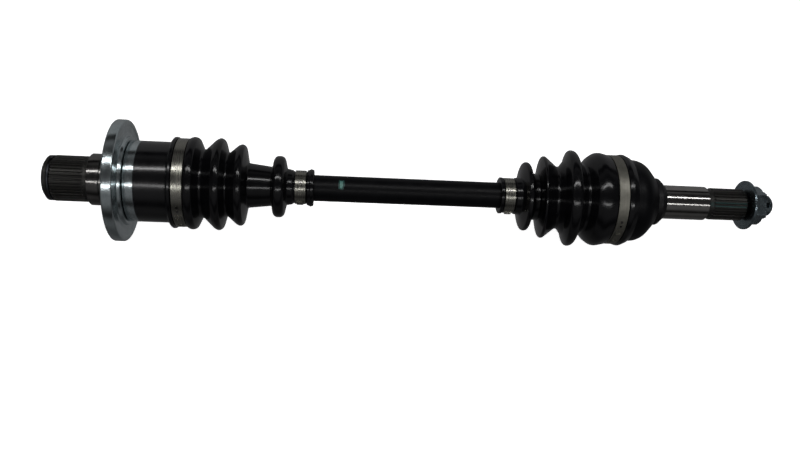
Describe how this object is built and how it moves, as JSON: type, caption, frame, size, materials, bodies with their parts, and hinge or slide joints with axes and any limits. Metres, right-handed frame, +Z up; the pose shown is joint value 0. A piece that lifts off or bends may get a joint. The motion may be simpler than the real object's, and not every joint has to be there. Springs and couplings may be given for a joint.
{
  "type": "cv axle",
  "caption": "Vehicle half shaft: a bar with a plunging ball joint at the inboard end and a fixed ball joint at the outboard end, under bellows boots.",
  "frame": {"origin": "centre of the inboard stub's nose face", "axes": "+X along the axle from the inboard nose to the castle nut, +Z up; both ball joints bend about Y"},
  "size_m": [0.736, 0.1188, 0.1194],
  "materials": {
    "black_paint": "gloss black enamel on forged steel",
    "bright_zinc": "turned and bright zinc plated steel",
    "spring_steel": "oiled dark spring steel",
    "hardened_steel": "hardened and ground steel",
    "bearing_steel": "polished bearing steel",
    "boot_rubber": "moulded black rubber, semi-gloss",
    "stainless_band": "brushed stainless strip",
    "dark_zinc": "blue zinc plated steel",
    "phosphated_steel": "dark phosphated steel with fine spline teeth",
    "ground_steel": "cylindrically ground bearing journal",
    "paint_mark": "hand-dabbed teal marking paint"
  },
  "bodies": {
    "shaft": {"axle_bar": "black_paint", "inboard_inner_race": "hardened_steel", "inboard_race_circlip": "spring_steel", "outboard_inner_race": "hardened_steel", "outboard_race_circlip": "spring_steel", "inboard_small_clamp": "stainless_band", "outboard_small_clamp": "stainless_band", "inboard_boot": "boot_rubber", "outboard_boot": "boot_rubber"},
    "inboard_cage": {"inboard_cage": "hardened_steel", "inboard_ball_1": "bearing_steel", "inboard_ball_2": "bearing_steel", "inboard_ball_3": "bearing_steel", "inboard_ball_4": "bearing_steel", "inboard_ball_5": "bearing_steel", "inboard_ball_6": "bearing_steel"},
    "inboard_housing": {"inboard_housing": "black_paint", "stub_circlip": "spring_steel", "deflector_flange": "bright_zinc", "stop_ring": "spring_steel", "inboard_large_clamp": "stainless_band"},
    "outboard_cage": {"outboard_cage": "hardened_steel", "outboard_ball_1": "bearing_steel", "outboard_ball_2": "bearing_steel", "outboard_ball_3": "bearing_steel", "outboard_ball_4": "bearing_steel", "outboard_ball_5": "bearing_steel", "outboard_ball_6": "bearing_steel"},
    "outboard_bell": {"outboard_bell": "black_paint", "outboard_large_clamp": "stainless_band", "seal_collar": "boot_rubber", "hub_washer": "dark_zinc", "castle_nut": "dark_zinc"}
  },
  "joints": [
    {"name": "inboard_articulation", "type": "hinge", "parent": "shaft", "child": "inboard_cage", "pos_m": [0.1115, 0, 0], "axis": [0, 1, 0], "range_deg": [-16, 16], "deforming": ["inboard_boot"]},
    {"name": "inboard_plunge", "type": "slide", "parent": "inboard_cage", "child": "inboard_housing", "axis": [-1, 0, 0], "range_m": [-0.014, 0.012], "deforming": ["inboard_boot"]},
    {"name": "outboard_cage_tilt", "type": "hinge", "parent": "shaft", "child": "outboard_cage", "pos_m": [0.573, 0, 0], "axis": [0, 1, 0], "range_deg": [-21, 21], "deforming": ["outboard_boot"]},
    {"name": "outboard_articulation", "type": "hinge", "parent": "outboard_cage", "child": "outboard_bell", "pos_m": [0.573, 0, 0], "axis": [0, 1, 0], "range_deg": [-21, 21], "deforming": ["outboard_boot"]}
  ],
  "couplings": [
    {"joint": "outboard_cage_tilt", "follows": "outboard_articulation", "ratio": 1}
  ]
}
